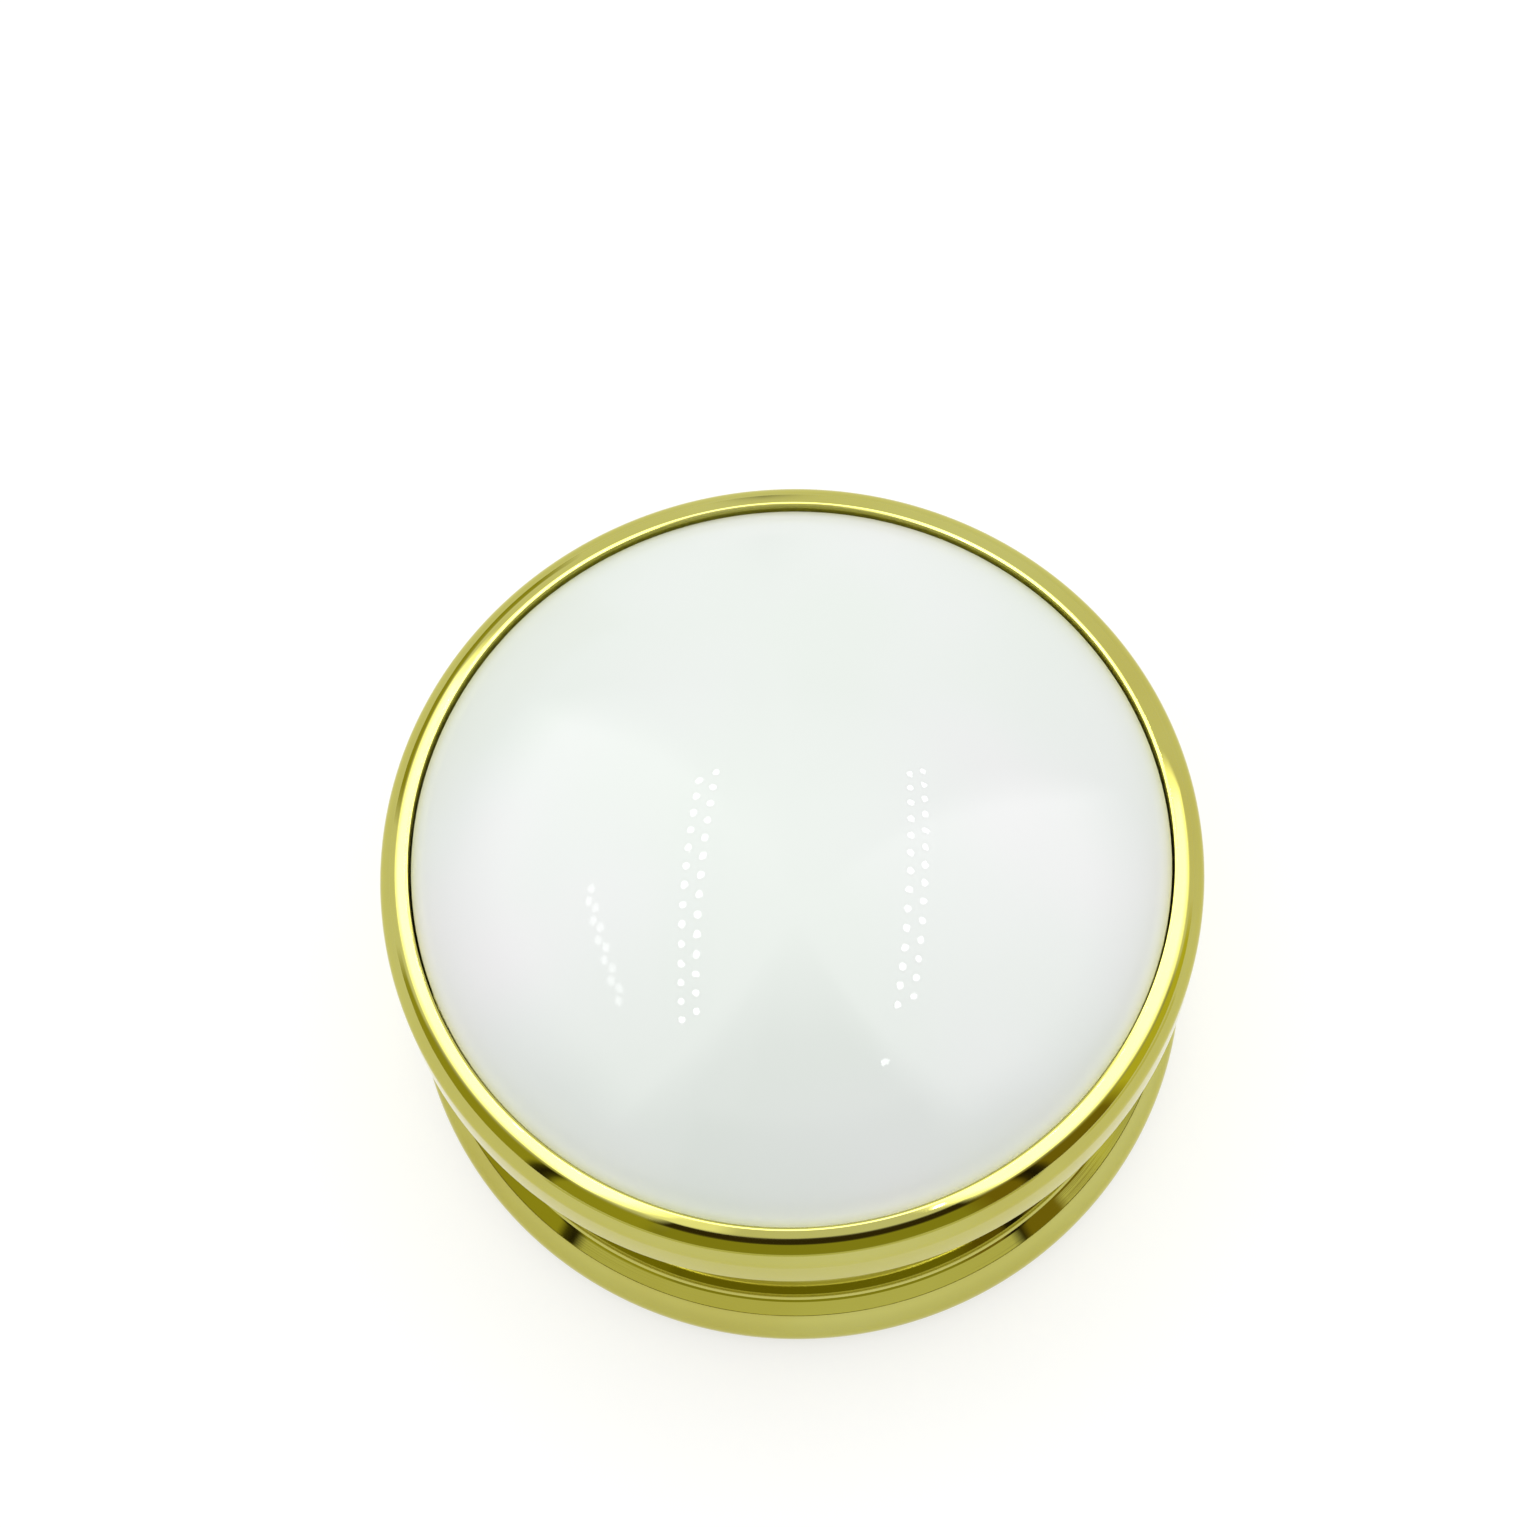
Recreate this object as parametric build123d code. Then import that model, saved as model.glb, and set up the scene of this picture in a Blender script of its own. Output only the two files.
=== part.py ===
from build123d import *

import os
from math import sqrt

# A low round cream jar with a screw lid. Millimetres, +Z up, origin on the rest plane under the jar's
# axis. Each outline below is a list of corners (radius, height, rounding) that is turned about +Z.

# Driving dimensions
JAR_RADIUS = 30.0  # widest radius of both the lid and the foot
REST_GAP = 0.5  # the gold foot stays this far above the surface the jar stands on
FOOT_TOP = 5.9  # seam between the foot and the waist shell
WAIST_RADIUS = 27.7
WAIST_BORE = 26.2
LEDGE_RADIUS = 28.9  # rim of the sloping ledge at the waist's foot
LEDGE_RISE = 0.84  # height the ledge gains from its rim to the upright wall
COVE_RADIUS = 0.8
SHELL_TOP = 21.0  # rim of the waist shell, just under the lid
LID_GAP = 0.3
BEZEL_HEIGHT = 7.0
LIP_DEPTH = 0.9  # how far the dome's edge lies below the bezel's crown
LEDGE_DEPTH = 3.5  # how far the ledge under the dome lies below the crown
DOME_EDGE_RADIUS = 27.55
DOME_SPHERE = 46.0  # radius of the dome's outer face
DOME_WALL = 2.0
NECK_RADIUS = 22.2
NECK_BORE = 20.7
CUP_BOTTOM = 7.0
CUP_WALL = 1.1
LID_SKIRT_RADIUS = 25.0
LID_SKIRT_BORE = 23.4
LINER_THICKNESS = 0.7
SOFT_PAD = 0.4  # thickness of the foam ring and of the tape
FACE_GAP = 0.05  # between faces that rest on each other or are glued

# Heights that follow from them
SHOULDER = SHELL_TOP - 5.0  # floor of the channel round the neck
COLLAR_TOP = SHELL_TOP + 2.4
CUP_LIP_TOP = COLLAR_TOP + 0.8
SEAL_TOP = CUP_LIP_TOP + 0.6
LINER_BOTTOM = SEAL_TOP + FACE_GAP
CAP_CEILING = LINER_BOTTOM + LINER_THICKNESS + FACE_GAP
CAP_TOP = CAP_CEILING + 1.2
LID_SKIRT_BOTTOM = SHOULDER + 1.1
LID_BOTTOM = SHELL_TOP + LID_GAP
LID_CROWN = LID_BOTTOM + BEZEL_HEIGHT
DOME_EDGE = LID_CROWN - LIP_DEPTH
DOME_LEDGE = LID_CROWN - LEDGE_DEPTH

# Three-start thread: a whole turn lifts the lid by one lead
THREAD_STARTS = 3
THREAD_LEAD = 9.0
THREAD_PITCH = THREAD_LEAD / THREAD_STARTS
RIB_HEIGHT = 0.8
RIB_ROOT_WIDTH = 1.2
RIB_CREST_WIDTH = 0.6
RIB_BITE = 0.3  # how far a rib's root runs into the wall that carries it
NECK_RIB_LOW = SHOULDER + 1.7
NECK_RIB_RISE = 5.0
LID_RIB_RISE = 4.2


def turned(corners):
    """A solid turned about +Z from a closed outline of (radius, height, rounding) corners."""
    points = [(radius, height) for radius, height, _ in corners]
    roundings = [rounding for _, _, rounding in corners]
    outline = FilletPolyline(*points, radius=roundings, close=True)
    return revolve(Plane.XZ * make_face(outline), Axis.Z)


def turned_curves(curves):
    """A solid turned about +Z from curves that close an outline in (radius, height)."""
    return revolve(Plane.XZ * make_face(curves), Axis.Z)


def disc(radius, low, high, rounding=0.2):
    """A plain round plate with softened rims."""
    return turned([(0, low, 0), (radius, low, rounding), (radius, high, rounding), (0, high, 0)])


def ring(inner, outer, low, high, rounding=0.1):
    """A flat ring with softened rims."""
    corners = [(inner, low), (outer, low), (outer, high), (inner, high)]
    return turned([(radius, height, rounding) for radius, height in corners])


def thread_ribs(wall_radius, outward, low, rise):
    """The ribs of the three-start thread, standing out of a wall (outward 1) or into a bore (-1)."""
    root = wall_radius - outward * RIB_BITE
    crest = wall_radius + outward * RIB_HEIGHT
    section = Polyline(
        (root, -RIB_ROOT_WIDTH / 2),
        (crest, -RIB_CREST_WIDTH / 2),
        (crest, RIB_CREST_WIDTH / 2),
        (root, RIB_ROOT_WIDTH / 2),
        close=True,
    )
    path = Helix(pitch=THREAD_LEAD, height=rise, radius=wall_radius)
    rib = sweep(Plane.XZ * make_face(section), path=path, is_frenet=True)
    turn = 360 / THREAD_STARTS
    return [Pos(0, 0, low) * Rot(0, 0, start * turn) * rib for start in range(THREAD_STARTS)]


def foot_flange():
    """Rolled ring at the foot, with a ledge for the base plate and a spigot inside the waist shell."""
    edge = 29.05
    spigot = WAIST_BORE - 0.1
    bead_top = FOOT_TOP - 0.2
    widest = (JAR_RADIUS, (REST_GAP + bead_top) / 2)
    bead = ThreePointArc((edge, REST_GAP), widest, (edge, bead_top))
    rest = Polyline(
        (edge, bead_top),
        (edge - 0.1, FOOT_TOP),
        (spigot, FOOT_TOP),
        (spigot, 8.5),
        (spigot - 1.2, 8.5),
        (spigot - 1.2, 2.3),
        (26.2, 2.3),
        (26.2, REST_GAP),
        (edge, REST_GAP),
    )
    return turned_curves(bead + rest)


def waist_shell():
    """Outer shell: an upright wall on a sloping ledge, with a small cove between them."""
    return turned([
        (WAIST_BORE, FOOT_TOP, 0),
        (LEDGE_RADIUS, FOOT_TOP, 0),
        (WAIST_RADIUS, FOOT_TOP + LEDGE_RISE, COVE_RADIUS),
        (WAIST_RADIUS, SHELL_TOP, 0.35),
        (WAIST_BORE, SHELL_TOP, 0.35),
    ])


def neck_collar():
    """Threaded neck on a shoulder, with a slotted skirt that grips the shell's inner wall."""
    skirt_low = SHOULDER - 5.2
    skirt_outer = WAIST_BORE - 0.1
    skirt_inner = skirt_outer - 1.3
    shoulder_low = SHOULDER - 1.5
    body = turned([
        (NECK_BORE, shoulder_low, 0),
        (skirt_inner, shoulder_low, 0.3),
        (skirt_inner, skirt_low, 0.1),
        (skirt_outer, skirt_low, 0.3),
        (skirt_outer, SHOULDER, 0.2),
        (NECK_RADIUS, SHOULDER, 0.2),
        (NECK_RADIUS, COLLAR_TOP, 0.2),
        (NECK_BORE, COLLAR_TOP, 0),
    ])
    groove = Pos(0, 0, SHOULDER + 0.2) * Torus(23.85, 0.64)
    slots = [Rot(0, 0, quarter * 90) * Pos(24.8, 0, skirt_low) * Box(4, 3, 3) for quarter in range(4)]
    return body - groove - slots + thread_ribs(NECK_RADIUS, 1, NECK_RIB_LOW, NECK_RIB_RISE)


def neck_o_ring():
    """Soft ring in the shoulder's groove, which the lid's skirt closes down on."""
    return Pos(0, 0, SHOULDER + 0.2) * Torus(23.85, 0.6)


def inner_cup():
    """Cup for the cream, with a lip that laps over the collar's end."""
    mouth = NECK_BORE - 0.1
    return turned([
        (0, CUP_BOTTOM, 0),
        (mouth - 1.0, CUP_BOTTOM, 7.0),
        (mouth, COLLAR_TOP, 0),
        (NECK_RADIUS - 0.2, COLLAR_TOP, 0.1),
        (NECK_RADIUS - 0.2, CUP_LIP_TOP, 0.25),
        (mouth - CUP_WALL, CUP_LIP_TOP, 0.25),
        (mouth - 1.0 - CUP_WALL, CUP_BOTTOM + CUP_WALL, 6.0),
        (0, CUP_BOTTOM + CUP_WALL, 0),
    ])


def base_plate():
    """Cover of the foot: a groove below for the foot ring and a rim above round the weight."""
    low, high = REST_GAP + 0.3, 2.25
    return turned([
        (0, low, 0),
        (21.0, low, 0.2),
        (21.0, 1.4, 0),
        (24.6, 1.4, 0),
        (24.6, low, 0.2),
        (26.1, low, 0.3),
        (26.1, high, 0.1),
        (23.6, high, 0),
        (23.6, 4.4, 0.3),
        (22.3, 4.4, 0.3),
        (22.3, high, 0),
        (0, high, 0),
    ])


def lid_bezel():
    """Gold ring of the lid: rolled outer face, crown that slopes out from the dome, ledge inside."""
    lip = DOME_EDGE_RADIUS + 0.12
    bore = LID_SKIRT_RADIUS + FACE_GAP
    return turned([
        (bore, LID_BOTTOM, 0.2),
        (JAR_RADIUS, LID_BOTTOM, 0.7),
        (JAR_RADIUS, LID_CROWN - 0.83, 2.8),
        (lip + 0.2, LID_CROWN, 0.2),
        (lip, LID_CROWN - 0.1, 0.1),
        (lip, DOME_LEDGE, 0),
        (bore, DOME_LEDGE, 0.2),
    ])


def dome_insert():
    """White dome: a spherical shell with a short upright rim that stands on the seat ring."""
    rim_low = DOME_LEDGE + SOFT_PAD
    rim_inner = 25.6
    centre = DOME_EDGE - sqrt(DOME_SPHERE**2 - DOME_EDGE_RADIUS**2)
    inside = DOME_SPHERE - DOME_WALL

    def on_sphere(sphere, radius):
        return (radius, centre + sqrt(sphere**2 - radius**2))

    outer_face = ThreePointArc(
        on_sphere(DOME_SPHERE, DOME_EDGE_RADIUS), on_sphere(DOME_SPHERE, 14), on_sphere(DOME_SPHERE, 0)
    )
    inner_face = ThreePointArc(on_sphere(inside, 0), on_sphere(inside, 13), on_sphere(inside, rim_inner))
    rest = Polyline(
        on_sphere(inside, rim_inner),
        (rim_inner, rim_low),
        (DOME_EDGE_RADIUS, rim_low),
        on_sphere(DOME_SPHERE, DOME_EDGE_RADIUS),
    )
    axis = Line(on_sphere(DOME_SPHERE, 0), on_sphere(inside, 0))
    return turned_curves(outer_face + axis + inner_face + rest)


def lid_inner_cap():
    """Threaded cap fixed in the bezel, with a low rim on top that centres the lid's weight."""
    body = turned([
        (0, CAP_CEILING, 0),
        (LID_SKIRT_BORE, CAP_CEILING, 0.4),
        (LID_SKIRT_BORE, LID_SKIRT_BOTTOM, 0.3),
        (LID_SKIRT_RADIUS, LID_SKIRT_BOTTOM, 0.3),
        (LID_SKIRT_RADIUS, CAP_TOP - 1.8, 0.6),
        (22.4, CAP_TOP, 0.6),
        (17.6, CAP_TOP, 0),
        (17.6, CAP_TOP + 1.4, 0.2),
        (16.3, CAP_TOP + 1.4, 0.2),
        (16.3, CAP_TOP, 0),
        (0, CAP_TOP, 0),
    ])
    low = NECK_RIB_LOW + THREAD_PITCH / 2
    return body + thread_ribs(LID_SKIRT_BORE, -1, low, LID_RIB_RISE)


def sealing_disc():
    """Inner lid: a shallow pan plugged into the cup's mouth, with a pull tab lying in it."""
    plug = NECK_BORE - 0.1 - CUP_WALL - 0.2
    floor_low = CUP_LIP_TOP - 1.8
    floor_high = floor_low + 0.7
    pan = turned([
        (0, floor_low, 0),
        (plug, floor_low, 0.3),
        (plug, CUP_LIP_TOP, 0),
        (NECK_RADIUS - 0.4, CUP_LIP_TOP, 0),
        (NECK_RADIUS - 0.4, SEAL_TOP, 0.2),
        (plug - 0.8, SEAL_TOP, 0.2),
        (plug - 0.8, floor_high, 0.2),
        (0, floor_high, 0),
    ])
    return pan + pull_tab(floor_high)


def pull_tab(floor):
    """Finger ring that lies just above the sealing disc's floor and joins it at one block."""
    outer, inner, thickness, lift = 6.0, 4.2, 0.7, 0.4
    upward = (Align.CENTER, Align.CENTER, Align.MIN)
    finger_ring = Cylinder(outer, thickness, align=upward) - Cylinder(inner, thickness, align=upward)
    root = Box(5, outer - inner - 0.4, lift + thickness, align=upward)
    return Pos(0, 0, floor + lift) * finger_ring + Pos(0, (outer + inner) / 2, floor - 0.1) * root


PIECES = {
    "foot_flange": foot_flange(),
    "waist_shell": waist_shell(),
    "neck_collar": neck_collar(),
    "neck_o_ring": neck_o_ring(),
    "inner_cup": inner_cup(),
    "weight_pad": disc(20.5, 5.5, CUP_BOTTOM),
    "base_weight": disc(22.1, 2.3, 5.5, 0.3),
    "base_plate": base_plate(),
    "foot_ring": ring(21.1, 24.5, 0, 1.4, 0.3),
    "lid_bezel": lid_bezel(),
    "dome_insert": dome_insert(),
    "dome_seat_ring": ring(25.65, 27.5, DOME_LEDGE, DOME_LEDGE + SOFT_PAD, 0.05),
    "lid_inner_cap": lid_inner_cap(),
    "lid_weight": disc(16.0, CAP_TOP + SOFT_PAD, CAP_TOP + SOFT_PAD + 2.6, 0.3),
    "lid_weight_tape": disc(15.0, CAP_TOP, CAP_TOP + SOFT_PAD, 0.05),
    "lid_liner": disc(22.9, LINER_BOTTOM, LINER_BOTTOM + LINER_THICKNESS, 0.1),
    "sealing_disc": sealing_disc(),
}

os.makedirs("parts", exist_ok=True)
for name, piece in PIECES.items():
    export_step(piece, f"parts/{name}.step")
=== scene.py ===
from math import atan2, cos, degrees, pi, radians, sin, sqrt, tan

import bmesh
import bpy
from mathutils import Matrix, Vector


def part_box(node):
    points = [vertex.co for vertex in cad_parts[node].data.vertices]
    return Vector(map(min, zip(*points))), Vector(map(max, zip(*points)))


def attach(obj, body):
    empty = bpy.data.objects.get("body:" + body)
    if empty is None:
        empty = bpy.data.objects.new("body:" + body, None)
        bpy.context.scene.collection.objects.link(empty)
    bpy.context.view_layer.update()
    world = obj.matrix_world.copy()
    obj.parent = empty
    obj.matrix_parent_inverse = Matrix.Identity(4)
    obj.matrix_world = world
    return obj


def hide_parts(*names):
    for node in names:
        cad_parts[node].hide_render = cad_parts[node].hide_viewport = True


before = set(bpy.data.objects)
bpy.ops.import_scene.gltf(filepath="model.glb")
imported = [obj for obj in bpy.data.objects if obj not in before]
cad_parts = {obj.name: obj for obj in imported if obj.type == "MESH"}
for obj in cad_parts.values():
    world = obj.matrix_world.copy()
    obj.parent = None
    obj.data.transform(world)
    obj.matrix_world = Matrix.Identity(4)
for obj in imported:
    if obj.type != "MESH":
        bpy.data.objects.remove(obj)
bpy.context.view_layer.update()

MM = 0.001
SEGMENTS = 384  # round each turned piece
CORNER_STEPS = 16  # steps in one rounded corner
ON_AXIS = 1e-6  # a smaller radius than this is a point on the axis
NOISE_LOW, NOISE_HIGH = 0.3, 0.7  # a noise texture hardly leaves this range
CEILING = 0.6  # height of the ceiling lamps, in metres
SILL_DISTANCE = 0.0634  # metres from the jar's centre to the pale sill
BAND_STEP = 2  # degrees between the columns of a reflection band
BAND_ROWS = 24

# Colours of what the polished pieces mirror
WHITE = (1.0, 1.0, 0.99)
OLIVE = (1.0, 0.95, 0.12)
PALE_OLIVE = (1.0, 0.99, 0.6)
BROWN = (1.0, 0.75, 0.06)
DARK_BROWN = (1.0, 0.7, 0.2)


# ---------------------------------------------------------------- outlines and turned meshes


def arc_points(start, end, centre, steps):
    """Points on a circular arc about centre from start to end, the short way round."""
    first = atan2(start.y - centre.y, start.x - centre.x)
    sweep = atan2(end.y - centre.y, end.x - centre.x) - first
    sweep = (sweep + pi) % (2 * pi) - pi
    radius = (start - centre).length
    angles = [first + sweep * step / steps for step in range(steps + 1)]
    return [centre + Vector((cos(angle), sin(angle))) * radius for angle in angles]


def rounded(corners):
    """Millimetre points of a closed outline of (radius, height, rounding) corners."""
    points = []
    for index, (radius, height, rounding) in enumerate(corners):
        here = Vector((radius, height))
        if not rounding:
            points.append(here)
            continue
        back = (Vector(corners[index - 1][:2]) - here).normalized()
        ahead = (Vector(corners[(index + 1) % len(corners)][:2]) - here).normalized()
        half = back.angle(ahead) / 2
        reach = rounding / tan(half)
        centre = here + (back + ahead).normalized() * rounding / sin(half)
        points += arc_points(here + back * reach, here + ahead * reach, centre, CORNER_STEPS)
    return points


def lathe(name, outline):
    """A closed mesh turned about +Z from millimetre (radius, height) points, in metres."""
    mesh = bpy.data.meshes.new(name)
    build = bmesh.new()
    rings = []
    for radius, height in outline:
        if radius < ON_AXIS:
            rings.append([build.verts.new((0, 0, height * MM))])
            continue
        ring = []
        for segment in range(SEGMENTS):
            angle = 2 * pi * segment / SEGMENTS
            place = Vector((radius * cos(angle), radius * sin(angle), height)) * MM
            ring.append(build.verts.new(place))
        rings.append(ring)
    for index, ring in enumerate(rings):
        bridge(build, ring, rings[(index + 1) % len(rings)])
    bmesh.ops.recalc_face_normals(build, faces=build.faces)
    build.to_mesh(mesh)
    build.free()
    mesh.shade_smooth()
    mesh.set_sharp_from_angle(angle=radians(32))
    piece = bpy.data.objects.new(name, mesh)
    bpy.context.scene.collection.objects.link(piece)
    return piece


def bridge(build, ring, following):
    """Faces between two neighbouring rings of a turned mesh, either of which may be a point."""
    if len(ring) == 1 and len(following) == 1:
        return
    for segment in range(SEGMENTS):
        after = (segment + 1) % SEGMENTS
        corners = [
            ring[segment % len(ring)],
            ring[after % len(ring)],
            following[after % len(following)],
            following[segment % len(following)],
        ]
        unique = list(dict.fromkeys(corners))
        build.faces.new(unique)


# ---------------------------------------------------------------- materials


class Surface:
    """A procedural material under construction: one Principled shader and what feeds it."""

    def __init__(self, name):
        self.material = bpy.data.materials.new(name)
        self.material.use_nodes = True
        self.tree = self.material.node_tree
        self.shader = self.tree.nodes["Principled BSDF"]
        self.place = self.tree.nodes.new("ShaderNodeTexCoord").outputs["Object"]

    def link(self, source, target):
        self.tree.links.new(source, target)

    def maths(self, operation, first, second=None):
        node = self.tree.nodes.new("ShaderNodeMath")
        node.operation = operation
        for socket, value in zip(node.inputs, (first, second)):
            if isinstance(value, (int, float)):
                socket.default_value = value
            elif value is not None:
                self.link(value, socket)
        return node.outputs[0]

    def around(self, along, across):
        """A place on a turned piece whose third axis, round the piece, is stretched out."""
        split = self.tree.nodes.new("ShaderNodeSeparateXYZ")
        self.link(self.place, split.inputs[0])
        square = self.maths("ADD", self.maths("POWER", split.outputs[0], 2.0),
                            self.maths("POWER", split.outputs[1], 2.0))
        radius = self.maths("SQRT", square)
        angle = self.maths("ARCTAN2", split.outputs[1], split.outputs[0])
        join = self.tree.nodes.new("ShaderNodeCombineXYZ")
        self.link(self.maths("MULTIPLY", radius, across), join.inputs[0])
        self.link(self.maths("MULTIPLY", split.outputs[2], across), join.inputs[1])
        self.link(self.maths("MULTIPLY", angle, along), join.inputs[2])
        return join.outputs[0]

    def noise(self, scale, detail=3.0, place=None):
        node = self.tree.nodes.new("ShaderNodeTexNoise")
        node.inputs["Scale"].default_value = scale
        node.inputs["Detail"].default_value = detail
        self.link(place or self.place, node.inputs["Vector"])
        return node.outputs["Fac"]

    def colours(self, value, *stops):
        """Base colour that runs through (position, colour) stops as value goes from 0 to 1."""
        ramp = self.tree.nodes.new("ShaderNodeValToRGB")
        elements = ramp.color_ramp.elements
        while len(elements) < len(stops):
            elements.new(0.5)
        for element, (position, colour) in zip(elements, stops):
            element.position = position
            element.color = (*colour, 1)
        self.link(value, ramp.inputs["Fac"])
        self.link(ramp.outputs["Color"], self.shader.inputs["Base Color"])

    def roughness(self, noise, low, high):
        """Roughness that runs from low to high with a noise texture."""
        node = self.tree.nodes.new("ShaderNodeMapRange")
        node.inputs["From Min"].default_value = NOISE_LOW
        node.inputs["From Max"].default_value = NOISE_HIGH
        node.inputs["To Min"].default_value = low
        node.inputs["To Max"].default_value = high
        self.link(noise, node.inputs["Value"])
        self.link(node.outputs[0], self.shader.inputs["Roughness"])

    def two_tones(self, noise, dark, light):
        """Base colour that runs from dark to light with a noise texture."""
        self.colours(noise, (NOISE_LOW, dark), (NOISE_HIGH, light))

    def bump(self, *layers):
        """Bump from (height, distance in metres, strength) layers, one on top of the other."""
        normal = None
        for height, distance, strength in layers:
            node = self.tree.nodes.new("ShaderNodeBump")
            node.inputs["Distance"].default_value = distance
            node.inputs["Strength"].default_value = strength
            self.link(height, node.inputs["Height"])
            if normal:
                self.link(normal, node.inputs["Normal"])
            normal = node.outputs["Normal"]
        self.link(normal, self.shader.inputs["Normal"])

    def set(self, values):
        """Constants on the shader's own sockets, by socket name."""
        for name, value in values.items():
            self.shader.inputs[name].default_value = value


def gold():
    """Lemon-gold plating, polished on a lathe: faint lines round the piece and a little tarnish."""
    surface = Surface("gold")
    surface.set({
        "Metallic": 1.0,
        "Specular Tint": (0.84, 0.81, 0.45, 1.0),
        "Coat Weight": 0.3,
        "Coat Roughness": 0.03,
    })
    tarnish = surface.noise(55.0, detail=4.0)
    surface.colours(
        tarnish,
        (0.30, (0.45, 0.41, 0.085)),
        (0.50, (0.47, 0.445, 0.105)),
        (0.72, (0.49, 0.47, 0.130)),
    )
    lines = surface.noise(1.0, detail=2.0, place=surface.around(along=3.0, across=9000.0))
    surface.roughness(surface.noise(140.0), 0.025, 0.07)
    surface.bump(
        (surface.noise(90.0, detail=1.0), 0.00006, 0.35),
        (lines, 0.000004, 0.35),
    )
    return surface.material


def opal_white():
    """White opal plastic with a deep, slightly uneven gloss and a faint cloud of tone."""
    surface = Surface("opal_white")
    surface.set({"IOR": 1.49, "Specular IOR Level": 0.2})
    cloud = surface.noise(38.0, detail=2.0)
    surface.colours(
        cloud,
        (0.34, (0.71, 0.75, 0.71)),
        (0.50, (0.73, 0.755, 0.735)),
        (0.66, (0.755, 0.755, 0.755)),
    )
    surface.roughness(surface.noise(420.0, detail=4.0), 0.008, 0.03)
    surface.bump((surface.noise(160.0, detail=1.0), 0.00002, 0.25))
    return surface.material


def moulded(name, dark, light, gloss, grain=900.0):
    """Moulded plastic or rubber: two close tones, a fine grain and an uneven gloss."""
    surface = Surface(name)
    surface.two_tones(surface.noise(60.0, detail=4.0), dark, light)
    surface.roughness(surface.noise(240.0), gloss, gloss + 0.16)
    surface.bump((surface.noise(grain, detail=2.0), 0.00002, 0.3))
    return surface.material


def foam(name, dark, light):
    """Closed-cell foam: small round cells in the skin."""
    surface = Surface(name)
    cells = surface.tree.nodes.new("ShaderNodeTexVoronoi")
    cells.inputs["Scale"].default_value = 2600.0
    surface.link(surface.place, cells.inputs["Vector"])
    surface.two_tones(surface.noise(300.0, detail=4.0), dark, light)
    surface.roughness(surface.noise(500.0), 0.6, 0.85)
    surface.bump((cells.outputs["Distance"], 0.00008, 0.6))
    return surface.material


def zinc_steel():
    """Stamped steel with a zinc finish and the marks of the tool."""
    surface = Surface("zinc_steel")
    surface.set({"Metallic": 1.0})
    surface.two_tones(surface.noise(120.0, detail=5.0), (0.42, 0.43, 0.44), (0.60, 0.61, 0.62))
    surface.roughness(surface.noise(300.0), 0.28, 0.5)
    marks = surface.noise(1.0, place=surface.around(along=2.0, across=4000.0))
    surface.bump((marks, 0.00002, 0.4))
    return surface.material


# ---------------------------------------------------------------- pieces that replace CAD nodes

bezel_low, bezel_high = (corner.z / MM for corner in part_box("lid_bezel"))
jar_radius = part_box("lid_bezel")[1].x / MM
dome_low, dome_high = (corner.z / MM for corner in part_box("dome_insert"))
dome_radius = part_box("dome_insert")[1].x / MM
shell_low, shell_high = (corner.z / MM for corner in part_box("waist_shell"))
foot_low, foot_high = (corner.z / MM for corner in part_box("foot_flange"))
cap_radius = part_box("lid_inner_cap")[1].x / MM

# Millimetres, the same as in the CAD
DOME_SPHERE = 46.0  # radius of the dome's outer face
DOME_WALL = 2.0
DOME_RIM_BORE = 25.6  # radius inside the dome's upright rim
DOME_GAP = 0.12  # between the dome and the bezel's lip
DOME_SEAT = 3.5  # depth of the bezel's ledge below its crown
CAP_GAP = 0.05  # between the bezel and the cap fixed in it
CROWN_ROLL = 2.8  # rounding of the bezel's upper edge
CROWN_FALL = 0.83  # height the crown loses from its lip to the jar's side, before rounding
WAIST_RADIUS = 27.7
WAIST_BORE = 26.2
LEDGE_RADIUS = 28.9  # rim of the sloping ledge at the waist's foot
LEDGE_RISE = 0.84  # height the ledge gains from its rim to the upright wall
COVE_RADIUS = 0.8
BEAD_BULGE = 0.95  # how far the foot's rolled face stands out from its edges
SEAM_GAP = 0.2  # open seam between the foot's bead and the waist shell
SPIGOT_WALL = 1.2  # of the foot's spigot inside the waist shell
PLATE_SEAT_RADIUS, PLATE_SEAT_HEIGHT = 26.2, 2.3  # of the ledge on the base plate


def place(piece, body, slot, material, *nodes):
    """Gives a piece its material and body, and hides the CAD nodes whose place it takes."""
    piece.data.materials.append(material)
    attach(piece, body)
    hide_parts(*nodes)
    return piece


def bezel_outline():
    """The lid's ring: rolled side, crown, thin lip round the dome and the ledge inside it."""
    lip = dome_radius + DOME_GAP
    bore = cap_radius + CAP_GAP
    ledge = bezel_high - DOME_SEAT
    return rounded([
        (bore, bezel_low, 0.2),
        (jar_radius, bezel_low, 0.7),
        (jar_radius, bezel_high - CROWN_FALL, CROWN_ROLL),
        (lip + 0.2, bezel_high, 0.2),
        (lip, bezel_high - 0.1, 0.08),
        (lip, ledge, 0.1),
        (bore, ledge, 0.2),
    ])


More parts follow.
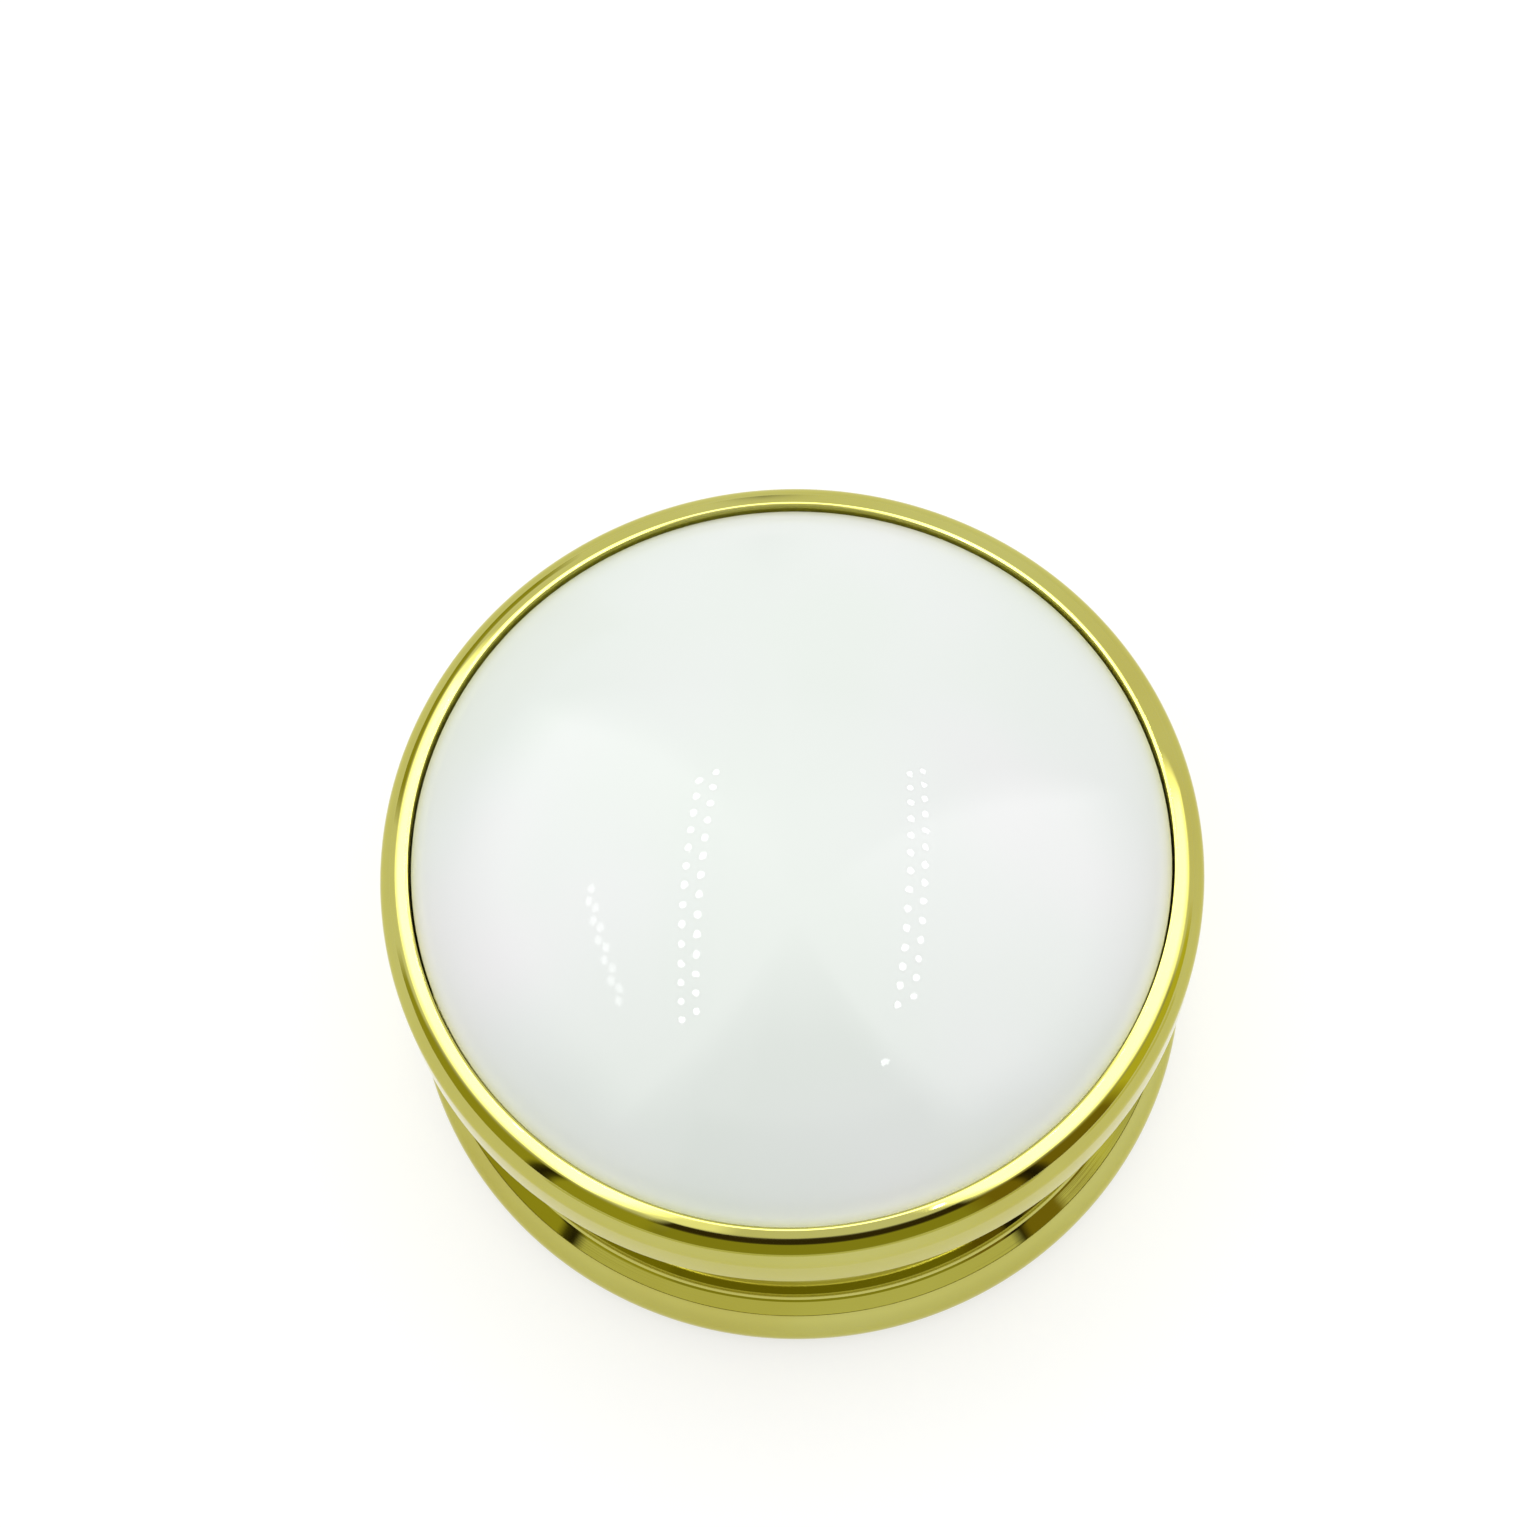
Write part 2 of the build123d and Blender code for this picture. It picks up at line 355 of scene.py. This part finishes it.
def dome_outline():
    """Spherical shell with a short upright rim and a hair of rounding where they meet."""
    centre = dome_high - DOME_SPHERE

    def sphere(radius, reach, steps):
        reaches = [reach * step / steps for step in range(steps + 1)]
        return [Vector((r, centre + sqrt(radius**2 - r**2))) for r in reaches]

    outer = sphere(DOME_SPHERE, dome_radius - 0.15, 48)
    edge = centre + sqrt(DOME_SPHERE**2 - dome_radius**2)
    rim = [Vector((dome_radius - 0.04, edge + 0.02)), Vector((dome_radius, edge - 0.12))]
    rim += [Vector((dome_radius, dome_low)), Vector((DOME_RIM_BORE, dome_low))]
    inner = sphere(DOME_SPHERE - DOME_WALL, DOME_RIM_BORE, 24)
    return outer + rim + list(reversed(inner))


def waist_outline():
    """The waist shell: an upright wall on a sloping ledge, with a small cove between them."""
    return rounded([
        (WAIST_BORE, shell_low, 0),
        (LEDGE_RADIUS, shell_low, 0),
        (WAIST_RADIUS, shell_low + LEDGE_RISE, COVE_RADIUS),
        (WAIST_RADIUS, shell_high, 0.35),
        (WAIST_BORE, shell_high, 0.35),
    ])


def foot_outline():
    """The rolled ring at the foot, with its ledge and spigot inside."""
    edge = jar_radius - BEAD_BULGE
    bead_top = shell_low - SEAM_GAP
    middle = (foot_low + bead_top) / 2
    half = (bead_top - foot_low) / 2
    radius = (BEAD_BULGE**2 + half**2) / (2 * BEAD_BULGE)
    centre = Vector((jar_radius - radius, middle))
    bead = arc_points(Vector((edge, foot_low)), Vector((edge, bead_top)), centre, 28)
    spigot = WAIST_BORE - 0.1
    spigot_bore = spigot - SPIGOT_WALL
    inside = [
        (edge - 0.1, shell_low),
        (spigot, shell_low),
        (spigot, foot_high),
        (spigot_bore, foot_high),
        (spigot_bore, PLATE_SEAT_HEIGHT),
        (PLATE_SEAT_RADIUS, PLATE_SEAT_HEIGHT),
        (PLATE_SEAT_RADIUS, foot_low),
    ]
    return bead + [Vector(point) for point in inside]


gold_plating = gold()
opal = opal_white()
collar_plastic = moulded("collar_plastic", (0.74, 0.72, 0.68), (0.82, 0.81, 0.78), 0.22)
cup_plastic = moulded("cup_plastic", (0.80, 0.80, 0.77), (0.87, 0.87, 0.85), 0.34)
seal_plastic = moulded("seal_plastic", (0.76, 0.78, 0.77), (0.84, 0.85, 0.84), 0.42)
base_plastic = moulded("base_plastic", (0.50, 0.42, 0.16), (0.60, 0.52, 0.22), 0.38, grain=1400.0)
foot_rubber = moulded("foot_rubber", (0.60, 0.59, 0.55), (0.70, 0.69, 0.65), 0.62, grain=2200.0)
soft_ring = moulded("soft_ring", (0.66, 0.65, 0.62), (0.76, 0.75, 0.72), 0.30)
pad_foam = foam("pad_foam", (0.62, 0.62, 0.60), (0.74, 0.74, 0.72))
liner_foam = foam("liner_foam", (0.78, 0.78, 0.76), (0.88, 0.88, 0.86))
tape = foam("tape", (0.70, 0.66, 0.58), (0.78, 0.75, 0.68))
steel = zinc_steel()

place(lathe("bezel_ring", bezel_outline()), "lid", "gold", gold_plating, "lid_bezel")
place(lathe("dome", dome_outline()), "lid", "white_dome", opal, "dome_insert")
place(lathe("waist", waist_outline()), "jar", "gold", gold_plating, "waist_shell")
place(lathe("foot", foot_outline()), "jar", "gold", gold_plating, "foot_flange")

CAD_FINISHES = {
    "neck_collar": collar_plastic,
    "lid_inner_cap": collar_plastic,
    "neck_o_ring": soft_ring,
    "inner_cup": cup_plastic,
    "sealing_disc": seal_plastic,
    "lid_liner": liner_foam,
    "weight_pad": pad_foam,
    "dome_seat_ring": pad_foam,
    "base_weight": steel,
    "lid_weight": steel,
    "lid_weight_tape": tape,
    "base_plate": base_plastic,
    "foot_ring": foot_rubber,
}
for node, finish in CAD_FINISHES.items():
    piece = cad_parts[node]
    piece.data.materials.clear()
    piece.data.materials.append(finish)


# ---------------------------------------------------------------- stage, light and camera


def glow(name, colour, strength):
    """An emitter that fades out where the card's own fade value falls to nothing."""
    material = bpy.data.materials.new(name)
    material.use_nodes = True
    tree = material.node_tree
    tree.nodes.clear()
    emission = tree.nodes.new("ShaderNodeEmission")
    emission.inputs["Color"].default_value = (*colour, 1)
    emission.inputs["Strength"].default_value = strength
    fade = tree.nodes.new("ShaderNodeAttribute")
    fade.attribute_name = "fade"
    mix = tree.nodes.new("ShaderNodeMixShader")
    output = tree.nodes.new("ShaderNodeOutputMaterial")
    tree.links.new(fade.outputs["Fac"], mix.inputs["Fac"])
    tree.links.new(tree.nodes.new("ShaderNodeBsdfTransparent").outputs[0], mix.inputs[1])
    tree.links.new(emission.outputs[0], mix.inputs[2])
    tree.links.new(mix.outputs[0], output.inputs["Surface"])
    return material


def reflection_card(name, points, fades, faces, colour, strength):
    """A part of the room that only shows as a reflection in the polished pieces."""
    mesh = bpy.data.meshes.new(name)
    mesh.from_pydata([tuple(point) for point in points], [], faces)
    mesh.attributes.new("fade", "FLOAT", "POINT").data.foreach_set("value", fades)
    mesh.materials.append(glow(name, colour, strength))
    card = bpy.data.objects.new(name, mesh)
    bpy.context.scene.collection.objects.link(card)
    card.visible_camera = False
    card.visible_diffuse = False
    card.visible_transmission = False
    card.visible_shadow = False


def on_sphere(azimuth, elevation, distance):
    """A point seen from the jar at an azimuth (0 in front, positive to the right) and elevation."""
    turn, rise = radians(azimuth), radians(elevation)
    return Vector((sin(turn) * cos(rise), -cos(turn) * cos(rise), sin(rise))) * distance


def band(name, stations, distance, colour, strength):
    """A curved card through (azimuth, low, high, soft) stations; its edges fade over soft degrees."""
    points, fades = [], []
    first_turn, last_turn = stations[0][0], stations[-1][0]
    whole = last_turn - first_turn >= 360
    for start, end in zip(stations, stations[1:]):
        steps = max(1, round((end[0] - start[0]) / BAND_STEP))
        for step in range(steps + 1):
            turn, low, high, soft = Vector(start).lerp(Vector(end), step / steps)
            aside = soft if whole else min(turn - first_turn, last_turn - turn)
            for row in range(BAND_ROWS + 1):
                rise = low + (high - low) * row / BAND_ROWS
                above = soft if low <= 0 else rise - low
                below = soft if high >= 90 else high - rise
                points.append(on_sphere(turn, rise, distance))
                fades.append(max(0.0, min(1.0, aside / soft, above / soft, below / soft)))
    tall = BAND_ROWS + 1
    faces = [
        (column + row, column + tall + row, column + tall + row + 1, column + row + 1)
        for column in range(0, len(points) - tall, tall)
        for row in range(BAND_ROWS)
    ]
    reflection_card(name, points, fades, faces, colour, strength)


def lamp_dots(name, places, size, strength):
    """Small round lamps under the ceiling, at (x, y) places in metres."""
    sides = 12
    points, faces = [], []
    for x, y in places:
        first = len(points)
        turns = [2 * pi * side / sides for side in range(sides)]
        points += [Vector((x + size * cos(turn), y + size * sin(turn), CEILING)) for turn in turns]
        faces.append(tuple(range(first, first + sides)))
    reflection_card(name, points, [1.0] * len(points), faces, (1.0, 1.0, 1.0), strength)


def lamp_strip(name, back_x, front_x, back_y, front_y, count, gap, size, strength):
    """Two staggered, straight rows of small lamps along the ceiling, from back to front."""
    back, front = Vector((back_x, back_y)), Vector((front_x, front_y))
    along = (front - back).normalized()
    across = Vector((along.y, -along.x)) * gap / 2
    places = []
    for index in range(count):
        spot = back.lerp(front, index / (count - 1))
        places.append(spot + across if index % 2 else spot - across)
    lamp_dots(name, places, size, strength)


def floor():
    """A wide pale surface under the jar, with some light of its own so that it stays white."""
    mesh = bpy.data.meshes.new("floor")
    reach, height = 6.0, -0.02 * MM
    sides = [(-reach, -reach), (reach, -reach), (reach, reach), (-reach, reach)]
    mesh.from_pydata([(x, y, height) for x, y in sides], [], [(0, 1, 2, 3)])
    plane = bpy.data.objects.new("floor", mesh)
    bpy.context.scene.collection.objects.link(plane)
    surface = Surface("pale_floor")
    surface.two_tones(surface.noise(12.0), (0.44, 0.44, 0.44), (0.46, 0.46, 0.46))
    surface.roughness(surface.noise(40.0), 0.7, 0.85)
    surface.set({
        "Specular IOR Level": 0.0,
        "Emission Color": (1.0, 1.0, 1.0, 1.0),
        "Emission Strength": 0.57,
    })
    mesh.materials.append(surface.material)


def sky():
    """Soft light that is strongest overhead and a little weaker from in front."""
    world = bpy.data.worlds.new("sky")
    bpy.context.scene.world = world
    world.use_nodes = True
    tree = world.node_tree
    background = tree.nodes["Background"]
    background.inputs["Color"].default_value = (1.0, 1.0, 1.0, 1)
    place = tree.nodes.new("ShaderNodeTexCoord")
    slope = tree.nodes.new("ShaderNodeVectorMath")
    slope.operation = "DOT_PRODUCT"
    slope.inputs[1].default_value = (0.0, 0.38, 1.6)
    level = tree.nodes.new("ShaderNodeMath")
    level.operation = "ADD"
    level.inputs[1].default_value = 0.08
    lowest = tree.nodes.new("ShaderNodeMath")
    lowest.operation = "MAXIMUM"
    lowest.inputs[1].default_value = 0.05
    tree.links.new(place.outputs["Generated"], slope.inputs[0])
    tree.links.new(slope.outputs["Value"], level.inputs[0])
    tree.links.new(level.outputs[0], lowest.inputs[0])
    tree.links.new(lowest.outputs[0], background.inputs["Strength"])


def room():
    """What the polished pieces mirror: a bright ceiling, lamps, a dim figure and room in front, two
    dark posts and, close to the jar, a pale sill that shows mostly in the waist's ledge."""
    band("ceiling", [
        (-180, 44, 90, 44), (-155, 34, 90, 40), (-140, 17, 90, 12), (-110, 18, 90, 14),
        (-90, 23, 90, 16), (-62, 35, 90, 12), (-48, 36, 90, 9), (-40, 40, 90, 30),
        (-32, 58, 90, 32), (-18, 66, 90, 24), (18, 66, 90, 24), (26, 56, 90, 34),
        (33, 42, 90, 24), (40, 37, 90, 10), (48, 36, 90, 8), (77, 23, 90, 14),
        (100, 17, 90, 16), (116, 17, 90, 14), (130, 44, 90, 44), (180, 44, 90, 44),
    ], 1.3, WHITE, 5.2)
    band("ceiling_left", [(-48, 40, 90, 6), (-18, 48, 90, 6)], 1.4, WHITE, 1.6)
    band("ceiling_front", [(-44, 48, 90, 5), (44, 48, 90, 5)], 1.45, WHITE, 1.0)
    band("wall_left", [(-180, 0, 70, 5), (-84, 0, 50, 5)], 1.6, WHITE, 1.1)
    band("wall_right", [(84, 0, 50, 5), (180, 0, 70, 5)], 1.6, WHITE, 1.1)
    band("dark_wall", [(-160, 0, 18, 5), (-118, 0, 18, 5)], 1.5, OLIVE, 0.50)
    band("room_left", [
        (-100, 0, 14, 6), (-77, 0, 28, 6), (-52, 0, 38, 6), (-26, 0, 40, 6),
    ], 1.2, OLIVE, 0.52)
    band("side_right", [(52, 0, 34, 5), (77, 0, 24, 6), (98, 0, 12, 6)], 1.25, OLIVE, 0.85)
    band("room_right", [(22, 0, 46, 6), (50, 0, 36, 6), (66, 0, 27, 6)], 1.2, BROWN, 0.30)
    band("room_front", [(-34, 0, 40, 6), (34, 0, 40, 6)], 1.15, OLIVE, 0.42)
    band("figure", [(-34, 31, 51, 4), (0, 31, 53, 4), (34, 31, 51, 4)], 1.0, DARK_BROWN, 0.05)
    band("post_left", [(-57, 0, 32, 2), (-50, 0, 36, 2)], 0.9, DARK_BROWN, 0.02)
    band("post_right", [(39, 0, 36, 2), (46, 0, 32, 2)], 0.9, DARK_BROWN, 0.02)
    band("sill", [
        (-47, 19.7, 24.2, 0.8), (-30, 20.8, 25.0, 0.8), (0, 21.3, 25.6, 0.8),
        (30, 20.8, 25.0, 0.8), (39, 20.3, 24.7, 0.8),
    ], SILL_DISTANCE, PALE_OLIVE, 0.85)
    band("sill_right", [
        (47, 19.7, 24.2, 0.8), (75, 17.2, 22.3, 0.8),
    ], SILL_DISTANCE, PALE_OLIVE, 0.95)
    lamp_strip("lamps_left", -0.16, -0.24, 0.34, -0.2, 28, 0.034, 0.0068, 48.0)
    lamp_strip("lamps_right", 0.29, 0.22, 0.34, -0.2, 28, 0.034, 0.0068, 48.0)
    lamp_strip("lamps_far", -0.47, -0.41, 0.13, -0.14, 12, 0.016, 0.012, 12.0)
    lamp_dots("spot", [(0.18, -0.33)], 0.010, 18.0)


def camera():
    """The photographer's view: from in front and well above, slightly turned."""
    elevation, distance = radians(70.24), 0.2586
    pan, tilt, roll = radians(0.32), radians(-1.71), radians(-4.05)
    target = Vector((0, 0, (bezel_high - DOME_SEAT) * MM))
    data = bpy.data.cameras.new("camera")
    data.lens = 83.36
    data.clip_start = 0.01
    view = bpy.data.objects.new("camera", data)
    bpy.context.scene.collection.objects.link(view)
    turn = (
        Matrix.Rotation(pi / 2 - elevation, 4, "X")
        @ Matrix.Rotation(pan, 4, "Y")
        @ Matrix.Rotation(-tilt, 4, "X")
        @ Matrix.Rotation(roll, 4, "Z")
    )
    view.matrix_world = Matrix.Translation(target + on_sphere(0, degrees(elevation), distance)) @ turn
    bpy.context.scene.camera = view


floor()
sky()
camera()
room()
bpy.context.scene.view_settings.view_transform = "Standard"
